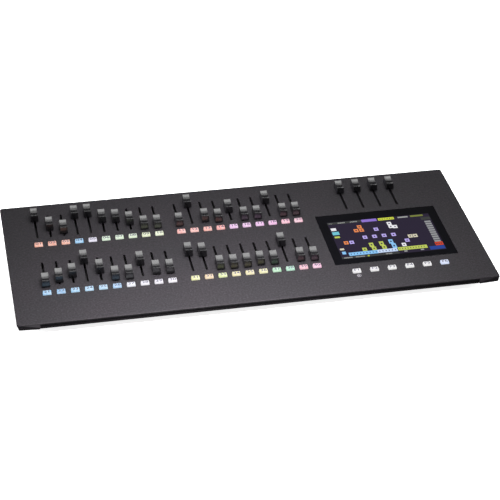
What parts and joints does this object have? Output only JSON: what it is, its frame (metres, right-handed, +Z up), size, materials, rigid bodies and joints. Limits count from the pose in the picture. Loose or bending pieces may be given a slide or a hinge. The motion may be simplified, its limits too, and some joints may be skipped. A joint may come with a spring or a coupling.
{
  "type": "lighting control desk",
  "caption": "Sloping table-top desk for stage lighting: banks of channel faders with a key at each, playback faders, and a touch display with soft keys.",
  "frame": {"origin": "middle of the footprint, on the surface that the desk stands on", "axes": "+X to the user's right, +Y away from the user, +Z up"},
  "size_m": [0.667, 0.2824, 0.0606],
  "materials": {
    "powder_coat": "fine-grained matt powder coat, charcoal",
    "cheek_plastic": "spark-eroded moulded plastic, charcoal",
    "foot_rubber": "matt black rubber",
    "touch_glass": "polished black-backed cover glass over a lit colour display",
    "screen_frame": "black moulded frame",
    "circuit_board": "green solder mask with tinned parts",
    "fader_plastic": "satin dark-grey moulding with a pale line",
    "key_silicone": "translucent silicone, lit from below in colours",
    "switch_plastic": "glossy black moulding"
  },
  "bodies": {
    "desk": {"top_panel": "powder_coat", "bottom_tray": "powder_coat", "left_cheek": "cheek_plastic", "right_cheek": "cheek_plastic", "front_foot_strip": "foot_rubber", "rear_foot_strip": "foot_rubber", "touch_glass": "touch_glass", "display_module": "screen_frame", "fader_board": "circuit_board", "main_board": "circuit_board"},
    "channel_fader_01_body": {"channel_fader_01": "fader_plastic"},
    "channel_fader_02_body": {"channel_fader_02": "fader_plastic"},
    "channel_fader_03_body": {"channel_fader_03": "fader_plastic"},
    "channel_fader_04_body": {"channel_fader_04": "fader_plastic"},
    "channel_fader_05_body": {"channel_fader_05": "fader_plastic"},
    "channel_fader_06_body": {"channel_fader_06": "fader_plastic"},
    "channel_fader_07_body": {"channel_fader_07": "fader_plastic"},
    "channel_fader_08_body": {"channel_fader_08": "fader_plastic"},
    "channel_fader_09_body": {"channel_fader_09": "fader_plastic"},
    "channel_fader_10_body": {"channel_fader_10": "fader_plastic"},
    "channel_fader_11_body": {"channel_fader_11": "fader_plastic"},
    "channel_fader_12_body": {"channel_fader_12": "fader_plastic"},
    "channel_fader_13_body": {"channel_fader_13": "fader_plastic"},
    "channel_fader_14_body": {"channel_fader_14": "fader_plastic"},
    "channel_fader_15_body": {"channel_fader_15": "fader_plastic"},
    "channel_fader_16_body": {"channel_fader_16": "fader_plastic"},
    "channel_fader_17_body": {"channel_fader_17": "fader_plastic"},
    "channel_fader_18_body": {"channel_fader_18": "fader_plastic"},
    "channel_fader_19_body": {"channel_fader_19": "fader_plastic"},
    "channel_fader_20_body": {"channel_fader_20": "fader_plastic"},
    "channel_fader_21_body": {"channel_fader_21": "fader_plastic"},
    "channel_fader_22_body": {"channel_fader_22": "fader_plastic"},
    "channel_fader_23_body": {"channel_fader_23": "fader_plastic"},
    "channel_fader_24_body": {"channel_fader_24": "fader_plastic"},
    "channel_fader_25_body": {"channel_fader_25": "fader_plastic"},
    "channel_fader_26_body": {"channel_fader_26": "fader_plastic"},
    "channel_fader_27_body": {"channel_fader_27": "fader_plastic"},
    "channel_fader_28_body": {"channel_fader_28": "fader_plastic"},
    "channel_fader_29_body": {"channel_fader_29": "fader_plastic"},
    "channel_fader_30_body": {"channel_fader_30": "fader_plastic"},
    "channel_fader_31_body": {"channel_fader_31": "fader_plastic"},
    "channel_fader_32_body": {"channel_fader_32": "fader_plastic"},
    "channel_fader_33_body": {"channel_fader_33": "fader_plastic"},
    "channel_fader_34_body": {"channel_fader_34": "fader_plastic"},
    "channel_fader_35_body": {"channel_fader_35": "fader_plastic"},
    "channel_fader_36_body": {"channel_fader_36": "fader_plastic"},
    "channel_fader_37_body": {"channel_fader_37": "fader_plastic"},
    "channel_fader_38_body": {"channel_fader_38": "fader_plastic"},
    "channel_fader_39_body": {"channel_fader_39": "fader_plastic"},
    "channel_fader_40_body": {"channel_fader_40": "fader_plastic"},
    "playback_fader_1_body": {"playback_fader_1": "fader_plastic"},
    "playback_fader_2_body": {"playback_fader_2": "fader_plastic"},
    "playback_fader_3_body": {"playback_fader_3": "fader_plastic"},
    "playback_fader_4_body": {"playback_fader_4": "fader_plastic"},
    "bump_keys_01_10_body": {"bump_keys_01_10": "key_silicone"},
    "bump_keys_11_20_body": {"bump_keys_11_20": "key_silicone"},
    "bump_keys_21_30_body": {"bump_keys_21_30": "key_silicone"},
    "bump_keys_31_40_body": {"bump_keys_31_40": "key_silicone"},
    "soft_keys_body": {"soft_keys": "key_silicone"},
    "power_rocker_body": {"power_rocker": "switch_plastic"}
  },
  "joints": [
    {"name": "channel_fader_01_slide", "type": "slide", "parent": "desk", "child": "channel_fader_01_body", "axis": [0, 0.9914, 0.1305], "range_m": [-0.045, 0]},
    {"name": "channel_fader_02_slide", "type": "slide", "parent": "desk", "child": "channel_fader_02_body", "axis": [0, 0.9914, 0.1305], "range_m": [-0.0198, 0.0252]},
    {"name": "channel_fader_03_slide", "type": "slide", "parent": "desk", "child": "channel_fader_03_body", "axis": [0, 0.9914, 0.1305], "range_m": [-0.009, 0.036]},
    {"name": "channel_fader_04_slide", "type": "slide", "parent": "desk", "child": "channel_fader_04_body", "axis": [0, 0.9914, 0.1305], "range_m": [-0.0432, 0.0018]},
    {"name": "channel_fader_05_slide", "type": "slide", "parent": "desk", "child": "channel_fader_05_body", "axis": [0, 0.9914, 0.1305], "range_m": [-0.0441, 0.0009]},
    {"name": "channel_fader_06_slide", "type": "slide", "parent": "desk", "child": "channel_fader_06_body", "axis": [0, 0.9914, 0.1305], "range_m": [-0.027, 0.018]},
    {"name": "channel_fader_07_slide", "type": "slide", "parent": "desk", "child": "channel_fader_07_body", "axis": [0, 0.9914, 0.1305], "range_m": [-0.02385, 0.02115]},
    {"name": "channel_fader_08_slide", "type": "slide", "parent": "desk", "child": "channel_fader_08_body", "axis": [0, 0.9914, 0.1305], "range_m": [-0.01485, 0.03015]},
    {"name": "channel_fader_09_slide", "type": "slide", "parent": "desk", "child": "channel_fader_09_body", "axis": [0, 0.9914, 0.1305], "range_m": [-0.0009, 0.0441]},
    {"name": "channel_fader_10_slide", "type": "slide", "parent": "desk", "child": "channel_fader_10_body", "axis": [0, 0.9914, 0.1305], "range_m": [0, 0.045]},
    {"name": "channel_fader_11_slide", "type": "slide", "parent": "desk", "child": "channel_fader_11_body", "axis": [0, 0.9914, 0.1305], "range_m": [0, 0.045]},
    {"name": "channel_fader_12_slide", "type": "slide", "parent": "desk", "child": "channel_fader_12_body", "axis": [0, 0.9914, 0.1305], "range_m": [-0.045, 0]},
    {"name": "channel_fader_13_slide", "type": "slide", "parent": "desk", "child": "channel_fader_13_body", "axis": [0, 0.9914, 0.1305], "range_m": [-0.00495, 0.04005]},
    {"name": "channel_fader_14_slide", "type": "slide", "parent": "desk", "child": "channel_fader_14_body", "axis": [0, 0.9914, 0.1305], "range_m": [-0.0009, 0.0441]},
    {"name": "channel_fader_15_slide", "type": "slide", "parent": "desk", "child": "channel_fader_15_body", "axis": [0, 0.9914, 0.1305], "range_m": [-0.0225, 0.0225]},
    {"name": "channel_fader_16_slide", "type": "slide", "parent": "desk", "child": "channel_fader_16_body", "axis": [0, 0.9914, 0.1305], "range_m": [0, 0.045]},
    {"name": "channel_fader_17_slide", "type": "slide", "parent": "desk", "child": "channel_fader_17_body", "axis": [0, 0.9914, 0.1305], "range_m": [0, 0.045]},
    {"name": "channel_fader_18_slide", "type": "slide", "parent": "desk", "child": "channel_fader_18_body", "axis": [0, 0.9914, 0.1305], "range_m": [-0.03645, 0.00855]},
    {"name": "channel_fader_19_slide", "type": "slide", "parent": "desk", "child": "channel_fader_19_body", "axis": [0, 0.9914, 0.1305], "range_m": [0, 0.045]},
    {"name": "channel_fader_20_slide", "type": "slide", "parent": "desk", "child": "channel_fader_20_body", "axis": [0, 0.9914, 0.1305], "range_m": [0, 0.045]},
    {"name": "channel_fader_21_slide", "type": "slide", "parent": "desk", "child": "channel_fader_21_body", "axis": [0, 0.9914, 0.1305], "range_m": [0, 0.045]},
    {"name": "channel_fader_22_slide", "type": "slide", "parent": "desk", "child": "channel_fader_22_body", "axis": [0, 0.9914, 0.1305], "range_m": [-0.00765, 0.03735]},
    {"name": "channel_fader_23_slide", "type": "slide", "parent": "desk", "child": "channel_fader_23_body", "axis": [0, 0.9914, 0.1305], "range_m": [-0.01575, 0.02925]},
    {"name": "channel_fader_24_slide", "type": "slide", "parent": "desk", "child": "channel_fader_24_body", "axis": [0, 0.9914, 0.1305], "range_m": [-0.045, 0]},
    {"name": "channel_fader_25_slide", "type": "slide", "parent": "desk", "child": "channel_fader_25_body", "axis": [0, 0.9914, 0.1305], "range_m": [-0.01935, 0.02565]},
    {"name": "channel_fader_26_slide", "type": "slide", "parent": "desk", "child": "channel_fader_26_body", "axis": [0, 0.9914, 0.1305], "range_m": [0, 0.045]},
    {"name": "channel_fader_27_slide", "type": "slide", "parent": "desk", "child": "channel_fader_27_body", "axis": [0, 0.9914, 0.1305], "range_m": [0, 0.045]},
    {"name": "channel_fader_28_slide", "type": "slide", "parent": "desk", "child": "channel_fader_28_body", "axis": [0, 0.9914, 0.1305], "range_m": [-0.0288, 0.0162]},
    {"name": "channel_fader_29_slide", "type": "slide", "parent": "desk", "child": "channel_fader_29_body", "axis": [0, 0.9914, 0.1305], "range_m": [-0.0045, 0.0405]},
    {"name": "channel_fader_30_slide", "type": "slide", "parent": "desk", "child": "channel_fader_30_body", "axis": [0, 0.9914, 0.1305], "range_m": [-0.0036, 0.0414]},
    {"name": "channel_fader_31_slide", "type": "slide", "parent": "desk", "child": "channel_fader_31_body", "axis": [0, 0.9914, 0.1305], "range_m": [-0.03915, 0.00585]},
    {"name": "channel_fader_32_slide", "type": "slide", "parent": "desk", "child": "channel_fader_32_body", "axis": [0, 0.9914, 0.1305], "range_m": [-0.0351, 0.0099]},
    {"name": "channel_fader_33_slide", "type": "slide", "parent": "desk", "child": "channel_fader_33_body", "axis": [0, 0.9914, 0.1305], "range_m": [-0.0009, 0.0441]},
    {"name": "channel_fader_34_slide", "type": "slide", "parent": "desk", "child": "channel_fader_34_body", "axis": [0, 0.9914, 0.1305], "range_m": [0, 0.045]},
    {"name": "channel_fader_35_slide", "type": "slide", "parent": "desk", "child": "channel_fader_35_body", "axis": [0, 0.9914, 0.1305], "range_m": [0, 0.045]},
    {"name": "channel_fader_36_slide", "type": "slide", "parent": "desk", "child": "channel_fader_36_body", "axis": [0, 0.9914, 0.1305], "range_m": [-0.0018, 0.0432]},
    {"name": "channel_fader_37_slide", "type": "slide", "parent": "desk", "child": "channel_fader_37_body", "axis": [0, 0.9914, 0.1305], "range_m": [0, 0.045]},
    {"name": "channel_fader_38_slide", "type": "slide", "parent": "desk", "child": "channel_fader_38_body", "axis": [0, 0.9914, 0.1305], "range_m": [-0.0414, 0.0036]},
    {"name": "channel_fader_39_slide", "type": "slide", "parent": "desk", "child": "channel_fader_39_body", "axis": [0, 0.9914, 0.1305], "range_m": [-0.00135, 0.04365]},
    {"name": "channel_fader_40_slide", "type": "slide", "parent": "desk", "child": "channel_fader_40_body", "axis": [0, 0.9914, 0.1305], "range_m": [0, 0.045]},
    {"name": "playback_fader_1_slide", "type": "slide", "parent": "desk", "child": "playback_fader_1_body", "axis": [0, 0.9914, 0.1305], "range_m": [-0.045, 0]},
    {"name": "playback_fader_2_slide", "type": "slide", "parent": "desk", "child": "playback_fader_2_body", "axis": [0, 0.9914, 0.1305], "range_m": [-0.045, 0]},
    {"name": "playback_fader_3_slide", "type": "slide", "parent": "desk", "child": "playback_fader_3_body", "axis": [0, 0.9914, 0.1305], "range_m": [-0.045, 0]},
    {"name": "playback_fader_4_slide", "type": "slide", "parent": "desk", "child": "playback_fader_4_body", "axis": [0, 0.9914, 0.1305], "range_m": [-0.045, 0]},
    {"name": "bump_keys_01_10_press", "type": "slide", "parent": "desk", "child": "bump_keys_01_10_body", "axis": [0, 0.1305, -0.9914], "range_m": [0, 0.001], "stiffness_N_per_m": 1000, "springref_m": -0.0015},
    {"name": "bump_keys_11_20_press", "type": "slide", "parent": "desk", "child": "bump_keys_11_20_body", "axis": [0, 0.1305, -0.9914], "range_m": [0, 0.001], "stiffness_N_per_m": 1000, "springref_m": -0.0015},
    {"name": "bump_keys_21_30_press", "type": "slide", "parent": "desk", "child": "bump_keys_21_30_body", "axis": [0, 0.1305, -0.9914], "range_m": [0, 0.001], "stiffness_N_per_m": 1000, "springref_m": -0.0015},
    {"name": "bump_keys_31_40_press", "type": "slide", "parent": "desk", "child": "bump_keys_31_40_body", "axis": [0, 0.1305, -0.9914], "range_m": [0, 0.001], "stiffness_N_per_m": 1000, "springref_m": -0.0015},
    {"name": "soft_keys_press", "type": "slide", "parent": "desk", "child": "soft_keys_body", "axis": [0, 0.1305, -0.9914], "range_m": [0, 0.001], "stiffness_N_per_m": 1000, "springref_m": -0.0015},
    {"name": "power_rocker_tilt", "type": "hinge", "parent": "desk", "child": "power_rocker_body", "pos_m": [0.272, 0.13042, 0.0188], "axis": [0, 0, 1], "range_deg": [0, 18]}
  ]
}
